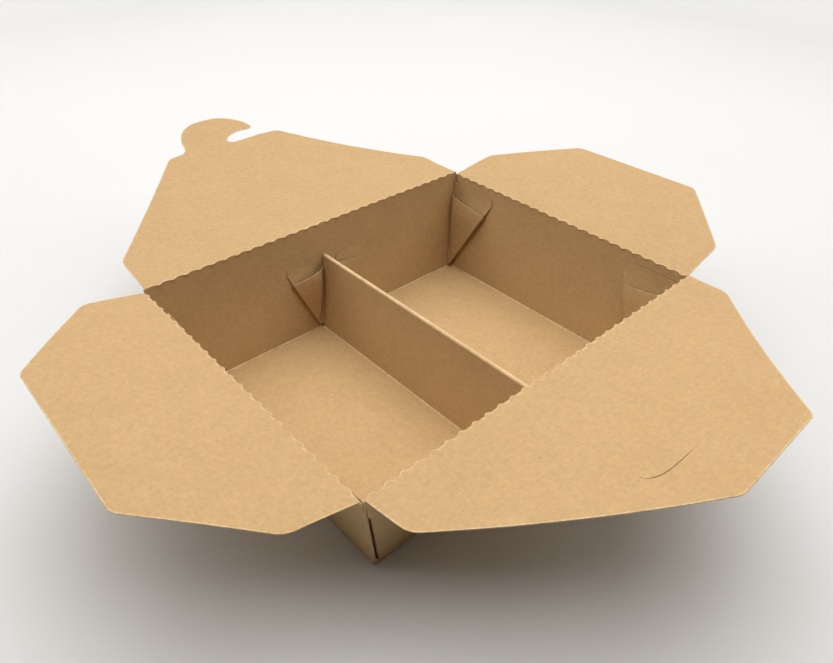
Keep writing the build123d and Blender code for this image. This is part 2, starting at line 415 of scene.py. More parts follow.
    def object(self, name, body, node):
        mesh = bpy.data.meshes.new(name)
        v = np.concatenate(self.v) * MM
        mesh.from_pydata([tuple(p) for p in v], [], self.f)
        for mat in (KRAFT, KRAFT_PAINTED_HIGHLIGHT, KRAFT_EDGE_AND_HIGHLIGHT):
            mesh.materials.append(mat)
        mesh.polygons.foreach_set("material_index", np.array(self.m, np.int32))
        bm = bmesh.new()
        bm.from_mesh(mesh)
        bmesh.ops.remove_doubles(bm, verts=bm.verts, dist=4e-6)
        bmesh.ops.dissolve_degenerate(bm, dist=1e-6, edges=bm.edges)
        bmesh.ops.recalc_face_normals(bm, faces=bm.faces)
        open_edges = sum(1 for e in bm.edges if len(e.link_faces) != 2)
        for f in bm.faces:
            f.smooth = True
        bm.to_mesh(mesh)
        bm.free()
        mesh.set_sharp_from_angle(angle=math.radians(32))
        mesh.update()
        obj = bpy.data.objects.new(name, mesh)
        bpy.context.scene.collection.objects.link(obj)
        flat = obj.modifiers.new("flat_faces", "WEIGHTED_NORMAL")
        flat.mode, flat.weight, flat.keep_sharp = "FACE_AREA", 90, True
        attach(obj, body)
        if node:
            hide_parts(node)
        print(name, "faces", len(mesh.polygons), "edges not shared by two", open_edges)
        return obj


# ------------------------------------------------------------------ materials
def srgb(r, g, b):
    def f(c):
        c /= 255.0
        return c / 12.92 if c <= 0.04045 else ((c + 0.055) / 1.055) ** 2.4

    return (f(r), f(g), f(b), 1.0)


def node(tree, kind, at=(0, 0), **values):
    n = tree.nodes.new(kind)
    n.location = at
    for key, value in values.items():
        if key in n.inputs:
            n.inputs[key].default_value = value
        else:
            setattr(n, key, value)
    return n


def ramp(tree, source, stops, at=(0, 0)):
    n = tree.nodes.new("ShaderNodeValToRGB")
    n.location = at
    r = n.color_ramp
    r.elements[0].position, r.elements[0].color = stops[0]
    r.elements[1].position, r.elements[1].color = stops[-1]
    for pos, col in stops[1:-1]:
        r.elements.new(pos).color = col
    tree.links.new(source, n.inputs["Fac"])
    return n


def grey(v):
    return (v, v, v, 1.0)


def kraft(name, base, pale, dark, mottle, rough, bump, flecks):
    """Uncoated kraft board: clouds, felted fibres, flecks, a fibrous bump, and painted shade darkening its folds and
    crevices.
    """
    mat = bpy.data.materials.new(name)
    mat.use_nodes = True
    t = mat.node_tree
    t.nodes.clear()
    out = node(t, "ShaderNodeOutputMaterial", (900, 0))
    bsdf = node(t, "ShaderNodeBsdfPrincipled", (600, 0))
    bsdf.inputs["Specular IOR Level"].default_value = 0.22
    t.links.new(bsdf.outputs[0], out.inputs[0])
    co = node(t, "ShaderNodeTexCoord", (-1500, 0))
    obj = co.outputs["Object"]

    def noise(scale, detail, at, stretch=None, rough=0.55):
        src = obj
        if stretch:
            mp = node(t, "ShaderNodeMapping", (at[0] - 200, at[1]))
            mp.inputs["Scale"].default_value = stretch
            mp.inputs["Rotation"].default_value = (0.35, 0.2, 0.6)
            t.links.new(src, mp.inputs["Vector"])
            src = mp.outputs[0]
        n = node(t, "ShaderNodeTexNoise", at)
        n.inputs["Scale"].default_value = scale
        n.inputs["Detail"].default_value = detail
        n.inputs["Roughness"].default_value = rough
        t.links.new(src, n.inputs["Vector"])
        return n.outputs["Fac"]

    cloud = noise(60.0, 3.0, (-1000, 500))
    mott = noise(480.0, 3.0, (-1000, 250), rough=0.5)
    fib_a = noise(300.0, 3.0, (-1000, 0), (1.0, 5.0, 5.0), 0.6)
    fib_b = noise(320.0, 3.0, (-1000, -250), (5.0, 1.0, 5.0), 0.6)
    fine = noise(2400.0, 2.0, (-1000, -500))

    def mix(a, b, fac, at, kind="MIX"):
        n = node(t, "ShaderNodeMix", at, data_type="RGBA", blend_type=kind)
        for sock, value in ((6, a), (7, b)):
            if isinstance(value, tuple):
                n.inputs[sock].default_value = value
            else:
                t.links.new(value, n.inputs[sock])
        if isinstance(fac, float):
            n.inputs[0].default_value = fac
        else:
            t.links.new(fac, n.inputs[0])
        return n.outputs[2]

    c = ramp(t, cloud, [(0.3, dark), (0.5, base), (0.72, pale)], (-700, 500)).outputs[0]
    m = ramp(
        t, mott, [(0.30, grey(1 - mottle)), (0.5, grey(1.0)), (0.72, grey(1 + mottle))], (-700, 250)
    ).outputs[0]
    c = mix(c, m, 1.0, (-350, 400), "MULTIPLY")
    fa = ramp(t, fib_a, [(0.35, grey(1 - 0.8 * mottle)), (0.68, grey(1 + 0.7 * mottle))], (-700, 0)).outputs[0]
    c = mix(c, fa, 1.0, (-200, 300), "MULTIPLY")
    fb = ramp(t, fib_b, [(0.35, grey(1 - 0.8 * mottle)), (0.68, grey(1 + 0.7 * mottle))], (-700, -250)).outputs[0]
    c = mix(c, fb, 1.0, (-50, 200), "MULTIPLY")
    spots = node(t, "ShaderNodeTexVoronoi", (-1000, -800), feature="F1")
    spots.inputs["Scale"].default_value = 240.0
    spots.inputs["Randomness"].default_value = 1.0
    mp = node(t, "ShaderNodeMapping", (-1200, -800))
    mp.inputs["Scale"].default_value = (1.0, 1.0, 1.0)
    t.links.new(obj, mp.inputs["Vector"])
    t.links.new(mp.outputs[0], spots.inputs["Vector"])
    near = ramp(t, spots.outputs["Distance"], [(0.05, grey(1.0)), (0.16, grey(0.0))], (-700, -800)).outputs[0]
    pick = ramp(t, spots.outputs["Color"], [(0.80, grey(0.0)), (0.86, grey(flecks))], (-700, -1000)).outputs[0]
    mask = mix(near, pick, 1.0, (-400, -800), "MULTIPLY")
    c = mix(c, tuple(x * 0.55 for x in dark[:3]) + (1.0,), mask, (150, 150))
    # painted shade: the colour is darkened in folds and crevices where little light gets in, by an ambient occlusion
    # node
    deep = node(t, "ShaderNodeAmbientOcclusion", (-400, 700), samples=4, only_local=True)
    deep.inputs["Distance"].default_value = 0.0024
    unshaded_fac = ramp(t, deep.outputs["AO"], [(0.12, grey(0.0)), (0.60, grey(1.0))], (-150, 700)).outputs[0]
    c = mix(mix(c, (0.36, 0.28, 0.18, 1.0), 1.0, (150, 500), "MULTIPLY"), c, unshaded_fac, (350, 300))
    t.links.new(c, bsdf.inputs["Base Color"])

    rr = ramp(t, mott, [(0.3, grey(rough - 0.07)), (0.7, grey(rough + 0.07))], (-300, -300)).outputs[0]
    t.links.new(rr, bsdf.inputs["Roughness"])
    b1 = node(t, "ShaderNodeBump", (100, -300))
    b1.inputs["Strength"].default_value = bump
    b1.inputs["Distance"].default_value = 0.00010
    t.links.new(fine, b1.inputs["Height"])
    b2 = node(t, "ShaderNodeBump", (300, -300))
    b2.inputs["Strength"].default_value = bump * 0.8
    b2.inputs["Distance"].default_value = 0.00018
    t.links.new(mott, b2.inputs["Height"])
    t.links.new(b1.outputs[0], b2.inputs["Normal"])
    t.links.new(b2.outputs[0], bsdf.inputs["Normal"])
    return mat


KRAFT = kraft(
    "kraft_board",
    srgb(186, 155, 112),
    srgb(188, 157, 114),
    srgb(184, 153, 110),
    0.055,
    0.72,
    0.35,
    0.45,
)
# painted highlight: the folds and the divider's crest are paler where light catches the bead of the crease
KRAFT_PAINTED_HIGHLIGHT = kraft(
    "kraft_fold_painted_highlight",
    srgb(212, 185, 145),
    srgb(218, 192, 153),
    srgb(202, 173, 131),
    0.07,
    0.78,
    0.5,
    0.3,
)
KRAFT_EDGE_AND_HIGHLIGHT = kraft(
    "kraft_cut_edge_and_highlight",
    srgb(202, 175, 136),
    srgb(208, 183, 146),
    srgb(190, 160, 118),
    0.10,
    0.85,
    0.6,
    0.3,
)

# ------------------------------------------------------------------ the tray
FOLD_R = 1.15                            # folds between floor and walls
TURN_R = 0.60                            # fold at a short wall's end
FLIP_R = 0.68                            # slanting fold of a gusset
CORNER_R = 0.45                          # fold from a long wall to a gusset
FLOOR_Z = T / 2


def spaced(a, b, step):
    n = max(2, int(round(abs(b - a) / step)) + 1)
    return np.linspace(a, b, n)


def near_line(p, q, a, b, tol=2e-3):
    """Whether border edge p-q lies along the segment a-b."""
    a, b = np.asarray(a, float), np.asarray(b, float)
    d = b - a
    n = np.linalg.norm(d)
    d = d / n
    for x in (p, q):
        r = x - a
        if abs(r[0] * d[1] - r[1] * d[0]) > tol or not -tol <= r @ d <= n + tol:
            return False
    return True


def foot_line(lean, foot):
    """Where the floor's fold begins, measured from the middle."""
    return foot + (math.sin(lean) * (FLOOR_Z + FOLD_R) - FOLD_R) / math.cos(lean)


X_T, Y_T = foot_line(LEAN_X, FOOT_X), foot_line(LEAN_Y, FOOT_Y)
tray = Board()

# Half of the tray is made, with the walls at +X and +Y, and turned half round.
LP, SP = long_plane(1), short_plane(1)
BACK = SP.offset(2 * TURN_R)
FRONT = BACK.offset(2 * FLIP_R)

floor_x, floor_y = X_T, Y_T
xs = spaced(-floor_x, floor_x, 3.0)
ys = spaced(-floor_y, floor_y, 3.0)

# fold and panel of the long wall
line = np.stack([xs, np.full_like(xs, Y_T), np.full_like(xs, FLOOR_Z)], 1)
end_y = tray.bend(line, (0, 1, 0), (0, 0, 1), FOLD_R, math.pi / 2 - LEAN_Y, steps=10, bead=0.42, closed=(False,) * 4)
base_y = LP.local(end_y)


def corner_centre(z):
    """Middle of the fold between the long wall and the gusset's front layer,
    on the corner at +X +Y."""
    a = np.array([LP.n, FRONT.n, [0, 0, 1]])
    b = np.array([LP.n @ LP.o + CORNER_R, FRONT.n @ FRONT.o + CORNER_R, z])
    return np.linalg.solve(a, b)


FRONT_LOW, FRONT_HIGH = 1.6, 44.4
zs = spaced(FRONT_LOW, FRONT_HIGH, 3.5)
mids = np.array([corner_centre(z) for z in zs])
seam_long = LP.local(mids - CORNER_R * LP.n)
seam_front = FRONT.local(mids - CORNER_R * FRONT.n)
rim = up_y(RIM)


def free_end(z, room):
    return (wall_x(z) - room, up_y(z))


AT_BACK = 2 * TURN_R / math.cos(LEAN_X)
AT_WALL = T / 2 / math.cos(LEAN_X) + 0.02


# small tongues behind the corner's fold close the ends of the slit between the layers
FOOT_TOP = 4.3
foot, tongue = (seam_long[k][0] + CORNER_R + T / 2 + 0.05 for k in (0, -1))
right_end = (
    [(X_T - 0.05, up_y(2.8))]
    + [(x + wall_x(FOOT_TOP) - wall_x(2.8), up_y(FOOT_TOP)) for x in (X_T - 0.05, foot + 0.15)]
    + [(foot, up_y(FRONT_LOW - 0.05))]
    + [tuple(p) for p in seam_long]
    + [(tongue, up_y(44.42)), (tongue, up_y(43.3))]
    + [free_end(z, AT_BACK if z < 51.5 else AT_WALL) for z in (43.3, 51.45, 51.6, 56.2)]
)
left_end = [(-x, y) for x, y in right_end[::-1]]
top = [(x, rim + y) for x, y in wave_line(LONG_N, LONG_P, 99.2, -1)]
outline = (
    [tuple(p) for p in base_y]
    + right_end
    + top[::-1]
    + left_end
)
seams = [
    (base_y[0], base_y[-1]),
    (seam_long[0], seam_long[-1]),
    (seam_long[0] * [-1, 1], seam_long[-1] * [-1, 1]),
]


def is_seam(seams):
    return lambda p, q: any(near_line(p, q, a, b) for a, b in seams)


def cut_above(level):
    """Only the perforated rim shows the paler cut edge."""
    return lambda mid: EDGE_AND_HIGHLIGHT if mid[1] > level else FACE


def beside(seam, outline, way, offsets=(0.4, 0.75, 1.1, 1.5, 2.0, 2.6, 3.4)):
    """Lines alongside a seam, where the board beside it is curved."""
    o, found = np.array(outline, float), []
    for d in offsets:
        line = np.asarray(seam, float) + [way * d, 0.0]
        line = line[inside(o, line) & (clearance(o, line) > 0.25)]
        if len(line) > 1:
            found.append([tuple(q) for q in line])
    return found


def teeth(level):
    """The outer faces of a wall's teeth are painted paler, a painted highlight that hides the shade on them."""
    return lambda mid: np.where(mid[:, 1] > level - 0.35, PAINTED_HIGHLIGHT, FACE)


level = [(-98.0, rim - 1.35), (98.0, rim - 1.35)]
tray.plate(
    outline,
    LP.place,
    step=7.0,
    lines=[level],
    open_edge=is_seam(seams),
    low_mat=teeth(rim - 1.0),
    edge=cut_above(rim - 1.3),
)

# folds from the long wall to both gussets' front layers
fold_out = unit(np.cross(LP.n, np.cross(LP.n, FRONT.n)))
if fold_out[0] < 0:
    fold_out = -fold_out
bend_turn = math.acos(float(LP.n @ FRONT.n))
for hand in (1, -1):
    flip = np.array([hand, 1, 1])
    tray.bend(
        (mids - CORNER_R * LP.n) * flip,
        fold_out * flip,
        LP.n * flip,
        CORNER_R,
        bend_turn,
        steps=8,
        mat=FACE,
        edge=FACE,
    )

# fold and panel of the short wall
line = np.stack([np.full_like(ys, X_T), -ys, np.full_like(ys, FLOOR_Z)], 1)
end_x = tray.bend(line, (1, 0, 0), (0, 0, 1), FOLD_R, math.pi / 2 - LEAN_X, steps=10, bead=0.42, closed=(False,) * 4)
base_x = SP.local(end_x)
BACK_LOW, BACK_HIGH = 1.4, 51.5
zb = spaced(BACK_LOW, BACK_HIGH, 3.5)
end_line = np.stack([wall_y(zb) - TURN_R, up_x(zb)], 1)
dust_rim = up_x(DUST)
right_end = [tuple(p) for p in end_line] + [
    (wall_y(52.2) + 0.1, up_x(52.2)),
    (wall_y(55.0) + 0.1, up_x(55.0)),
]
left_end = [(-x, y) for x, y in right_end[::-1]]
top = [(x, dust_rim + y) for x, y in wave_line(SHORT_N, SHORT_P, 77.6, -1)]
outline = [tuple(p) for p in base_x] + right_end + top[::-1] + left_end
seams = [
    (base_x[0], base_x[-1]),
    (end_line[0], end_line[-1]),
    (end_line[0] * [-1, 1], end_line[-1] * [-1, 1]),
]
level = [(-76.5, dust_rim - 1.35), (76.5, dust_rim - 1.35)]
tray.plate(
    outline,
    SP.place,
    step=7.0,
    lines=[level],
    open_edge=is_seam(seams),
    low_mat=teeth(dust_rim - 1.0),
    edge=cut_above(dust_rim - 1.3),
)

# the floor
loop = []
loop += [(X_T, -y) for y in ys[::-1]]
loop += [(x, Y_T) for x in xs[::-1]]
loop += [(-X_T, y) for y in ys[::-1]]
loop += [(x, -Y_T) for x in xs]
floor_seams = [
    ((X_T, -floor_y), (X_T, floor_y)),
    ((-X_T, -floor_y), (-X_T, floor_y)),
    ((-floor_x, Y_T), (floor_x, Y_T)),
    ((-floor_x, -Y_T), (floor_x, -Y_T)),
]
GROUND = Sheet2((0, 0, FLOOR_Z), (1, 0, 0), (0, 0, 1))

# rounded corners where the folds of floor and walls meet
for hand in (1, -1):
    around = np.linspace(0, math.pi / 2, 7)[:, None]
    turn = math.pi / 2 - LEAN_X + (LEAN_X - LEAN_Y) * around / (math.pi / 2)
    polar = turn * np.linspace(0, 1, 11)[None, :]
    ray = np.stack(
        [np.sin(polar) * np.cos(around), hand * np.sin(polar) * np.sin(around), -np.cos(polar)], -1
    )
    slope = np.stack(
        [np.cos(turn) * np.cos(around), hand * np.cos(turn) * np.sin(around), np.sin(turn)], -1
    )
    grid = np.array([X_T, hand * Y_T, FLOOR_Z + FOLD_R]) + FOLD_R * ray
    grid = np.concatenate([grid, grid[:, -1:] + 1.8 * slope], 1)
    ray = np.concatenate([ray, ray[:, -1:]], 1)
    last = grid.shape[1] - 2
    tray.strip(
        grid, -ray, FACE, (lambda j: j == last, lambda j: j == last, False, True), edge=FACE
    )

# the gussets at both ends of the short wall
mark = tray.n
turn_at = np.array((49.0, up_x(39.3)))
zd = np.linspace(0, 1, 12)
for hand in (1, -1):
    # round the wall's end
    along = unit(end_line[-1] - end_line[0])
    e_line = end_line * [-hand, 1]
    out2 = np.array([along[1], -along[0]]) * [-hand, 1]
    out3 = out2[0] * SP.x + out2[1] * SP.y
    p3 = tray.bend(SP.at(e_line), out3, SP.n, TURN_R, math.pi, steps=10, mat=FACE, edge=FACE)
    # back layer with its ear
    seam1 = BACK.local(p3)
    start = np.array((-hand * (wall_y(0.3) - 0.4936 * (FRONT_LOW - 0.3)), up_x(FRONT_LOW)))
    stop = turn_at * [-hand, 1]
    fold_line = start + (stop - start) * zd[:, None]
    ear = rounded(
        [
            (49.0, up_x(39.3)),
            (45.2, up_x(47.2), 3.0),
            (47.0, up_x(51.5), 3.0),
            (60.0, up_x(51.5)),
        ]
    )[1:-1]
    ear = [(-hand * x, y) for x, y in ear]
    foot = [(-hand * (wall_y(0.3) - 0.4936 * (BACK_LOW - 0.3)), up_x(BACK_LOW))]
    outline = [tuple(q) for q in seam1[::-1]] + foot + [tuple(q) for q in fold_line] + ear
    tray.plate(
        outline,
        BACK.place,
        step=5.0,
        open_edge=is_seam([(seam1[0], seam1[-1]), (fold_line[0], fold_line[-1])]),
        edge=FACE,
        bevel=0.14,
    )
    # slanting fold and front layer
    dirn = unit(fold_line[-1] - fold_line[0])
    out2 = np.array([-dirn[1], dirn[0]])
    if out2[0] * hand < 0:
        out2 = -out2
    out3 = out2[0] * BACK.x + out2[1] * BACK.y
    p3 = tray.bend(BACK.at(fold_line), out3, BACK.n, FLIP_R, math.pi, steps=10, mat=FACE, edge=FACE)
    seam2 = FRONT.local(p3)
    corner_seam = seam_front * [hand, 1]
    top = smooth([(49.9, 40.45), (54.0, 40.75), (60.6, 41.5), (67.0, 42.7), (72.5, 43.8)], 3)
    top += [(73.2, 43.94), (73.8, 44.06), (74.4, 44.18), (74.9, 44.28)]
    top = [(-hand * x, up_x(z)) for x, z in top]
    outline = [tuple(q) for q in seam2] + top + [tuple(q) for q in corner_seam[::-1]]
    tray.plate(
        outline,
        FRONT.place,
        step=5.0,
        lines=beside(corner_seam, outline, hand),
        open_edge=is_seam([(seam2[0], seam2[-1]), (corner_seam[0], corner_seam[-1])]),
        edge=FACE,
    )


def ease(x, a, b):
    t = np.clip((x - a) / (b - a), 0, 1)
    return t * t * (3 - 2 * t)


def spring(v):
    """The folded gussets stand off the wall, as board springs back; the ear
    above the slanting fold leans on the wall again."""
    far = np.clip(wall_y(v[:, 2]) - 1.05 - np.abs(v[:, 1]), 0, None)
    front = ease((v - SP.o) @ SP.n, 2 * TURN_R + T / 2, 2 * (TURN_R + FLIP_R) - T / 2)
    uv = SP.local(v)
    low, high = np.array([wall_y(0.3) - 0.64, up_x(FRONT_LOW)]), np.array([49.0, up_x(39.3)])
    way = unit(high - low)
    inner = (np.abs(uv[:, 0]) - low[0]) * way[1] - (uv[:, 1] - low[1]) * way[0]
    back = 0.9 * ease(far, 0.1, 4.0) * (1 - ease(v[:, 2], 36.0, 43.0))
    back -= 0.66 * (1 - front) * ease(far, 0.6, 4.0) * ease(v[:, 2], 38.0, 44.0)
    rise = -0.40 + 1.9 * np.clip(inner / 14.0, 0, 1)
    return (back + rise * front * ease(far, 0.0, 2.2))[:, None] * SP.n


tray.warp(spring, mark)
tray.turned()
tray.plate(loop, GROUND.place, step=8.0, open_edge=is_seam(floor_seams))
tray.object("tray_board", "box", "tray")

# ------------------------------------------------------------------ the divider
DIV_X, DIV_FOOT, DIV_TOP = -4.0, 8.4, 41.4
DIV_R, CREST_R = 1.0, 0.85
FLANGE = 85.9
FLANGE_Z = T + T / 2 + 0.02

D_BACK, D_FLIP, D_BEND = 0.60, 0.38, 0.60
FREE_END = 1.6                           # of panels and flanges from the walls
GUS_LOW, GUS_HIGH = 3.0, 34.8            # where gussets join the panels
D1 = LP.offset(D_BACK)
D2 = D1.offset(2 * D_FLIP)

divider = Board()
panel_lean = math.atan((DIV_FOOT - 0.45) / (DIV_TOP - 1.3))
ps, pc = math.sin(panel_lean), math.cos(panel_lean)
crest_z = DIV_TOP - T / 2 - CREST_R
# the panel's straight line runs down from the crest's fold to the floor's fold,
# given as (distance from the crest's plane, height)
tan_top = (CREST_R * pc, crest_z + CREST_R * ps)
h_c = FLANGE_Z + DIV_R
base_d = tan_top[0] + (tan_top[1] - h_c) * ps / pc + DIV_R / pc
panel_n = np.array([-pc, 0.0, ps])       # of the left panel, towards its compartment
panel_o = np.array([DIV_X - tan_top[0], 0.0, tan_top[1]])


def panel_centre(z):
    """Middle of the fold between the left panel and its gusset at +Y."""
    a = np.array([panel_n, D2.n, [0, 0, 1]])
    b = np.array([panel_n @ panel_o + D_BEND, D2.n @ D2.o + D_BEND, z])
    return np.linalg.solve(a, b)


mids = np.array([panel_centre(z) for z in spaced(GUS_LOW, GUS_HIGH, 3.0)])
panel_seam = mids - D_BEND * panel_n

# Rows of one half from the floor's end to the crest: distance from the crest's
# plane, height, direction of the upper face, material, bead, reach towards the
# long walls and whether a gusset joins on there.
half = []
for d in np.r_[np.linspace(FLANGE, base_d + 6, 10), base_d + 2.5, base_d + 0.8]:
    half.append((d, FLANGE_Z, 0.0, 1.0, FACE, 0.0, wall_y(FLANGE_Z) - FREE_END, False))
for k in range(11):
    a = (math.pi / 2 - panel_lean) * k / 10
    z = h_c - DIV_R * math.cos(a)
    half.append(
        (
            base_d - DIV_R * math.sin(a), z, math.sin(a), math.cos(a), PAINTED_HIGHLIGHT,
            0.38 * math.sin(math.pi * k / 10) ** 2, wall_y(z) - FREE_END, False,
        )
    )
heights = [(z, None) for z in (2.0, 2.3)]
heights += [(q[2], q[1]) for q in panel_seam]
heights += [(z, None) for z in (35.6, 36.6, 37.6, 38.6, 39.4, tan_top[1] - 0.35)]
for z, end in heights:
    half.append(
        (
            tan_top[0] + (tan_top[1] - z) * ps / pc, z, pc, ps, FACE, 0.0,
            wall_y(z) - FREE_END if end is None else end, end is not None,
        )
    )
for k in range(9):
    a = panel_lean + (math.pi / 2 - panel_lean) * k / 8
    z = crest_z + CREST_R * math.sin(a)
    half.append(
        (CREST_R * math.cos(a), z, math.cos(a), math.sin(a), PAINTED_HIGHLIGHT, 0.0, wall_y(z) - FREE_END, False)
    )
section = [(DIV_X - q[0], q[1], -q[2]) + q[3:] for q in half]
section += [(DIV_X + q[0],) + q[1:] for q in half[-2::-1]]
# the floor flanges end at the short walls, with their corners cut off
section[0] = (-FLANGE,) + section[0][1:]
section[-1] = (FLANGE,) + section[-1][1:]
for at, x in ((1, -FLANGE + 3.6), (-1, FLANGE - 3.6)):
    q = section[0]
    section.insert(at, (x,) + q[1:])
section.sort(key=lambda q: q[0])
fr = np.linspace(-1, 1, 49)
rows, norms, beads = [], [], []
for x, z, a, b, m, bead, reach, joins in section:
    if abs(x) > FLANGE - 0.01:
        reach -= 3.6
    rows.append(np.stack([np.full_like(fr, x), fr * reach, np.full_like(fr, z)], 1))
    norms.append(np.repeat(np.array([[a, 0.0, b]]), len(fr), 0))
    beads.append(bead * np.clip((1 - np.abs(fr)) * reach / 6.0, 0, 1))


# painted highlight on the floor's folds and on the crest of the divider
def div_mat(i, j):
    return PAINTED_HIGHLIGHT if section[i][4] == section[i + 1][4] == PAINTED_HIGHLIGHT else FACE


def div_cut(i):
    return not (section[i][7] and section[i + 1][7])


divider.strip(
    np.array(rows), np.array(norms), mat=div_mat, closed=(True, True, div_cut, div_cut), lift=beads
)

# gussets at the four ends of the panels
mark = divider.n
out_dir = unit(np.cross(panel_n, np.cross(panel_n, D2.n)))
if out_dir[1] < 0:
    out_dir = -out_dir
turn_p = math.acos(float(panel_n @ D2.n))
for side in (1, -1):
    for hand in (1, -1):
        # made on the left panel at +Y, then mirrored about the crest and the middle
        def mirror(p):
            p = np.array(p, float)
            if hand < 0:
                p[:, 0] = 2 * DIV_X - p[:, 0]
            p[:, 1] *= side
            return p

        vec = np.array([hand, side, 1.0])
        divider.bend(
            mirror(panel_seam),
            out_dir * vec,
            panel_n * vec,
            D_BEND,
            turn_p,
            steps=8,
            mat=FACE,
            edge=FACE,
        )
        front_seam = D2.local(mids - D_BEND * D2.n)
        fold = np.array([(-14.4, up_y(3.4)), (-26.2, up_y(31.5))])
        fold = fold[0] + (fold[1] - fold[0]) * np.linspace(0, 1, 12)[:, None]
        top = smooth([(-24.0, 31.75), (-19.0, 32.3), (-14.0, 33.3), (-9.2, 34.5)], 9)
        top = [(x, up_y(z)) for x, z in top]
        outline = [tuple(q) for q in fold] + top + [tuple(q) for q in front_seam[::-1]]

        def place2(uv):
            p = mirror(D2.at(uv))
            return p, np.repeat((D2.n * vec)[None], len(p), 0)

        divider.plate(
            outline,
            place2,
            step=5.0,
            lines=beside(front_seam, outline, -1),
            open_edge=is_seam([(fold[0], fold[-1]), (front_seam[0], front_seam[-1])]),
        )
        dirn = unit(fold[-1] - fold[0])
        out2 = np.array([-dirn[1], dirn[0]])
        if out2[0] > 0:
            out2 = -out2
        out3 = (out2[0] * D1.x + out2[1] * D1.y) * vec
        divider.bend(mirror(D1.at(fold)), out3, D1.n * vec, D_FLIP, math.pi, steps=10, mat=FACE, edge=FACE)
        ear = rounded(
            [
                (-26.2, up_y(31.5)),
                (-28.6, up_y(37.6), 1.6),
                (-26.6, up_y(39.3), 1.2),
                (-12.0, up_y(37.8)),
                (-9.0, up_y(30.0)),
                (-13.0, up_y(3.4)),
            ],
            5,
        )[1:]
        outline = [tuple(q) for q in fold] + ear

        def place1(uv):
            p = mirror(D1.at(uv))
            return p, np.repeat((D1.n * vec)[None], len(p), 0)

        divider.plate(
            outline, place1, step=5.0, open_edge=is_seam([(fold[0], fold[-1])]), edge=FACE, bevel=0.14
        )


def spring(v):
    """These gussets stand off the long walls in the same way."""
    panel = tan_top[0] + (tan_top[1] - v[:, 2]) * ps / pc
    far = np.clip(np.abs(v[:, 0] - DIV_X) - panel - 1.1, 0, None)
    n = np.repeat(LP.n[None], len(v), 0)
    n[:, 1] *= np.sign(v[:, 1])
    o = LP.o * np.stack([np.ones(len(v)), np.sign(v[:, 1]), np.ones(len(v))], 1)
    front = ease(np.sum((v - o) * n, 1), D_BACK + T / 2, D_BACK + 2 * D_FLIP - T / 2)
    low, high = np.array([14.4, up_y(3.4)]), np.array([26.2, up_y(31.5)])
    way = unit(high - low)
    beyond = np.where(v[:, 0] < DIV_X, -v[:, 0], v[:, 0] - 2 * DIV_X)
    inner = -(beyond - low[0]) * way[1] + (up_y(v[:, 2]) - low[1]) * way[0]
    left = v[:, 0] < DIV_X
    back = np.where(left, 0.9, 0.3) * ease(far, 0.1, 4.2) * (1 - ease(v[:, 2], 29.0, 35.0))
    rise = np.where(left, 3.0, 0.7) * np.clip(inner / 11.0, 0, 1)
    return (back + rise * front * ease(far, 0.1, 2.5))[:, None] * n


divider.warp(spring, mark)
divider.object("divider_board", "box", "divider")


# ------------------------------------------------------------------ the flaps
def flap_place(at, along, out, angle, curve, bow=None):
    """Maps (u, v) on a flap's board to its curved place: v runs outwards from
    the crease, angle is the slope there and curve its change per millimetre."""
    at, along, out = (np.asarray(x, float) for x in (at, along, out))
    up = np.array([0.0, 0.0, 1.0])
    a0 = math.radians(angle)

    def place(uv):
        u, v = uv[:, 0], uv[:, 1]
        a = a0 + curve * v
        o = (np.sin(a) - math.sin(a0)) / curve
        h = (math.cos(a0) - np.cos(a)) / curve
        n = -np.sin(a)[:, None] * out + np.cos(a)[:, None] * up
        p = at + u[:, None] * along + o[:, None] * out + h[:, None] * up
        if bow is not None:
            p = p + bow(u, v)[:, None] * n
        return p, n

    return place


RIM_WIDE = 0.45                          # width of the paler band along the cut border, partly the cut edge's own paler tone and partly painted highlight


def dense(points, step=3.0):
    """The same open line with points no further apart than step."""
    out = [points[0]]
    for a, b in zip(points, points[1:]):
        a, b = np.array(a, float), np.array(b, float)
        k = max(1, int(math.ceil(np.linalg.norm(b - a) / step)))
        out += [tuple(a + (b - a) * i / k) for i in range(1, k + 1)]
    return out


def inset(outer, d):
    """A line inside an open border, d from it."""
    q = np.array(outer, float)
    keep = np.r_[True, np.linalg.norm(np.diff(q, axis=0), axis=1) > 1e-6]
    q = q[keep]
    t = np.gradient(q, axis=0)
    t /= np.linalg.norm(t, axis=1)[:, None]
    return [tuple(x) for x in q + d * np.stack([-t[:, 1], t[:, 0]], 1)]


def flap_outline(n, p, reach, corners):
    """Outline of a flap, and the lines that bound its painted highlight along the crease and its paler rim."""
    base = wave_line(n, p, reach, 1)
    crease = [(x, y + 0.46) for x, y in base[1:-1]]
    outer = dense(rounded([(reach, 0.55)] + corners + [(-reach, 0.55)]))
    return base + outer[1:-1], [crease, inset(outer[1:-1], RIM_WIDE)]


def rim_mat(n, p, outline):
    """Painted highlight along the wavy crease, and a paler band along the cut border that is partly the cut edge's own
    tone and partly painted highlight.
    """
    end = n * p / 2

    def pick(mid):
        kind = np.full(len(mid), FACE)
        kind[clearance(outline, mid) < 0.9 * RIM_WIDE] = EDGE_AND_HIGHLIGHT
        low = np.array([wave(x, n, p) for x in mid[:, 0]]) + 0.05 + 0.42
        kind[(np.abs(mid[:, 0]) < end) & (mid[:, 1] < low)] = EDGE_AND_HIGHLIGHT
        return kind

    return pick


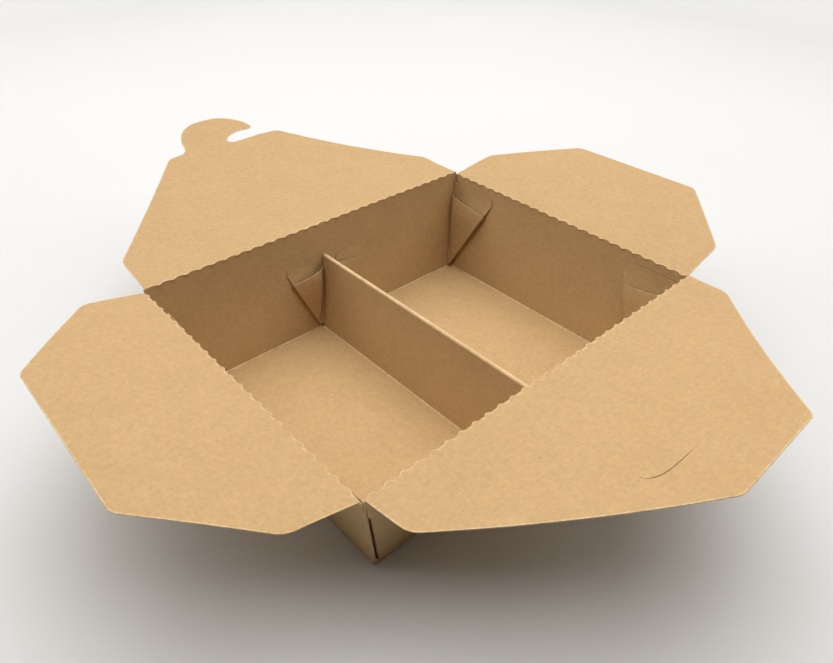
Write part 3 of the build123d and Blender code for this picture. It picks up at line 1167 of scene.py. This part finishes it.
# hook flap
D_A = 99.7
hook = smooth(
    [
        (24.6, D_A + 1.4),
        (12.0, D_A + 0.6),
        (6.2, D_A + 0.4),
        (3.7, D_A + 1.8),
        (3.3, D_A + 3.4),
        (4.9, D_A + 5.6),
        (8.6, D_A + 8.0),
        (14.2, D_A + 9.6),
        (20.6, D_A + 9.4),
        (23.6, D_A + 10.2),
        (24.3, D_A + 12.0),
        (22.4, D_A + 17.0),
        (17.4, D_A + 22.4),
        (9.6, D_A + 26.6),
        (1.0, D_A + 27.4),
        (-7.0, D_A + 26.6),
        (-14.0, D_A + 23.4),
        (-19.0, D_A + 18.2),
        (-22.2, D_A + 11.4),
        (-24.0, D_A + 4.2),
        (-27.2, D_A + 1.2),
    ],
    4,
)
corners = (
    [(97.4, 26.7, 9.0), (36.8, D_A + 0.7, 6.0)]
    + [tuple(q) for q in hook]
    + [(-36.4, D_A - 0.2, 7.0), (-97.4, 26.7, 9.0)]
)
outline, marks = flap_outline(LONG_N, LONG_P, 98.5, corners)
flap = Board()
flap.plate(
    outline,
    flap_place(
        (0, HALF_Y, RIM),
        (1, 0, 0),
        (0, 1, 0),
        1.15,
        2.150e-3,
        lambda u, v: -0.35 * np.sin(u / 42.0 + 0.6) * np.clip(v / 60.0, 0, 1),
    ),
    step=4.0,
    lines=marks,
    mat=rim_mat(LONG_N, LONG_P, outline),
    bevel=0.10,
)
flap.object("hook_flap_board", "hook_flap", "hook_flap")

# slit flap
corners = [(96.8, 18.9, 9.0), (24.4, 83.2, 6.0), (-24.4, 83.2, 6.0), (-96.8, 18.9, 9.0)]
outline, marks = flap_outline(LONG_N, LONG_P, 98.5, corners)
slit_mid = smooth(
    [(33.8, 55.0), (32.4, 57.9), (28.6, 60.1), (22.0, 61.0), (14.8, 61.2), (-8.0, 61.6), (-29.0, 62.0), (-45.0, 62.0)],
    5,
)
sm = np.array(slit_mid)
tang = np.gradient(sm, axis=0)
tang /= np.linalg.norm(tang, axis=1)[:, None]
nrm2 = np.stack([-tang[:, 1], tang[:, 0]], 1)
wide = np.interp(sm[:, 0], [-45, 9, 13, 20, 30, 34], [0.006, 0.006, 0.05, 0.22, 0.22, 0.06])
slit = [tuple(q) for q in sm + nrm2 * wide[:, None]] + [
    tuple(q) for q in (sm - nrm2 * wide[:, None])[::-1]
]
flap = Board()
flap.plate(
    outline,
    flap_place(
        (0, -HALF_Y, RIM),
        (-1, 0, 0),
        (0, -1, 0),
        1.18,
        4.237e-3,
        lambda u, v: 0.3 * np.sin(u / 50.0 + 0.6) * np.clip(v / 50.0, 0, 1),
    ),
    holes=[slit],
    step=4.0,
    lines=marks,
    mat=rim_mat(LONG_N, LONG_P, outline),
    bevel=0.10,
)
flap.object("slit_flap_board", "slit_flap", "slit_flap")

# dust flaps
corners = [(75.9, 26.8, 9.0), (39.6, 61.6, 7.0), (-39.6, 61.6, 7.0), (-75.9, 26.8, 9.0)]
outline, marks = flap_outline(SHORT_N, SHORT_P, 77.2, corners)
flap = Board()
flap.plate(
    outline,
    flap_place(
        (-DUST_X, 0, DUST),
        (0, 1, 0),
        (-1, 0, 0),
        15.30,
        -2.818e-3,
        lambda u, v: 0.3 * np.sin(u / 40.0) * np.clip(v / 50.0, 0, 1),
    ),
    step=4.0,
    lines=marks,
    mat=rim_mat(SHORT_N, SHORT_P, outline),
    bevel=0.10,
)
flap.object("left_dust_flap_board", "left_dust_flap", "left_dust_flap")

corners = [(75.9, 28.0, 9.0), (38.8, 70.9, 7.0), (-38.8, 70.9, 7.0), (-75.9, 28.0, 9.0)]
outline, marks = flap_outline(SHORT_N, SHORT_P, 77.2, corners)
flap = Board()
flap.plate(
    outline,
    flap_place(
        (DUST_X, 0, DUST),
        (0, -1, 0),
        (1, 0, 0),
        10.97,
        -1.446e-3,
        lambda u, v: 0.3 * np.sin(u / 46.0 + 1.0) * np.clip(v / 50.0, 0, 1),
    ),
    step=4.0,
    lines=marks,
    mat=rim_mat(SHORT_N, SHORT_P, outline),
    bevel=0.10,
)
flap.object("right_dust_flap_board", "right_dust_flap", "right_dust_flap")

# ------------------------------------------------------------------ the stage
scene = bpy.context.scene
mesh = bpy.data.meshes.new("ground")
mesh.from_pydata(
    [(-6, -6, -0.0002), (6, -6, -0.0002), (6, 6, -0.0002), (-6, 6, -0.0002)], [], [(0, 1, 2, 3)]
)
ground = bpy.data.objects.new("ground", mesh)
scene.collection.objects.link(ground)
gm = bpy.data.materials.new("ground_paper")
gm.use_nodes = True
gt = gm.node_tree
gb = gt.nodes["Principled BSDF"]
gb.inputs["Roughness"].default_value = 0.9
gb.inputs["Specular IOR Level"].default_value = 0.1
gco = node(gt, "ShaderNodeTexCoord", (-800, 0))
gn = node(gt, "ShaderNodeTexNoise", (-600, 0))
gn.inputs["Scale"].default_value = 3.0
gt.links.new(gco.outputs["Object"], gn.inputs["Vector"])
gr = ramp(gt, gn.outputs["Fac"], [(0.3, (0.64, 0.656, 0.680, 1)), (0.7, (0.655, 0.671, 0.695, 1))], (-300, 0))
gt.links.new(gr.outputs[0], gb.inputs["Base Color"])
# painted light: the ground glows more with distance from (0.25, 0.27), so the far ground stays pale beyond the reach
# of the lights
gd = node(gt, "ShaderNodeVectorMath", (-600, -300), operation="DISTANCE")
gt.links.new(gco.outputs["Object"], gd.inputs[0])
gd.inputs[1].default_value = (0.25, 0.27, 0.0)
gf = node(gt, "ShaderNodeMapRange", (-300, -300), interpolation_type="LINEAR")
gf.inputs["From Min"].default_value = 0.65
gf.inputs["From Max"].default_value = 1.85
gf.inputs["To Min"].default_value = 0.0
gf.inputs["To Max"].default_value = 0.68
gt.links.new(gd.outputs["Value"], gf.inputs["Value"])
gt.links.new(gf.outputs["Result"], gb.inputs["Emission Strength"])
gb.inputs["Emission Color"].default_value = (1.0, 0.985, 0.965, 1.0)
mesh.materials.append(gm)

world = bpy.data.worlds.new("studio")
scene.world = world
world.use_nodes = True
bg = world.node_tree.nodes["Background"]
bg.inputs["Color"].default_value = (1.0, 0.985, 0.965, 1.0)
bg.inputs["Strength"].default_value = 0.74
# a pale backdrop that gives no light of its own
seen = world.cycles_visibility
seen.diffuse = seen.glossy = seen.transmission = seen.scatter = False


def area(name, at, to, size, power, colour=(1, 1, 1)):
    light = bpy.data.lights.new(name, "AREA")
    light.shape = "RECTANGLE"
    light.size, light.size_y = size
    light.energy = power
    light.color = colour
    o = bpy.data.objects.new(name, light)
    scene.collection.objects.link(o)
    o.location = at
    o.rotation_mode = "QUATERNION"
    o.rotation_quaternion = (Vector(to) - Vector(at)).to_track_quat("-Z", "Y")
    return o


area("overhead", (0.20, 0.22, 1.3), (0, 0, 0), (2.2, 2.2), 35.0, (1.0, 0.95, 0.885))
area("softbox", (0.45, 0.45, 1.3), (0, 0, 0), (1.2, 1.2), 5.2, (0.93, 0.98, 1.0))
area("backdrop", (1.3, 1.4, 1.3), (1.5, 1.6, 0), (1.2, 1.2), 4.5, (1.0, 0.97, 0.94))
area("left_panel", (-1.0, 0.9, 0.9), (0, 0, 0), (0.8, 0.8), 6.2, (1.0, 0.95, 0.88))
area("right_panel", (0.9, -1.0, 0.9), (0, 0, 0), (0.8, 0.8), 4.6, (1.0, 0.95, 0.88))

cam_data = bpy.data.cameras.new("camera")
cam = bpy.data.objects.new("camera", cam_data)
scene.collection.objects.link(cam)
scene.camera = cam
cam_data.sensor_fit = "HORIZONTAL"
cam_data.sensor_width = 36.0
cam_data.lens = 658.68 * 36.0 / 833.0
cam_data.dof.use_dof = False
cam_data.clip_start, cam_data.clip_end = 0.01, 50.0
right_v = Vector((0.73764047, -0.67499697, 0.01629798))
down_v = Vector((-0.39931927, -0.45558837, -0.79560251))
ahead_v = Vector((0.54445445, 0.58036051, -0.60559972))
rot = Matrix((right_v, -down_v, -ahead_v)).transposed()
cam.matrix_world = Matrix.Translation((-0.17694022, -0.18392016, 0.22323466)) @ rot.to_4x4()

scene.view_settings.view_transform = "Standard"
scene.view_settings.look = "None"
scene.view_settings.exposure = 0.0
scene.view_settings.gamma = 1.0
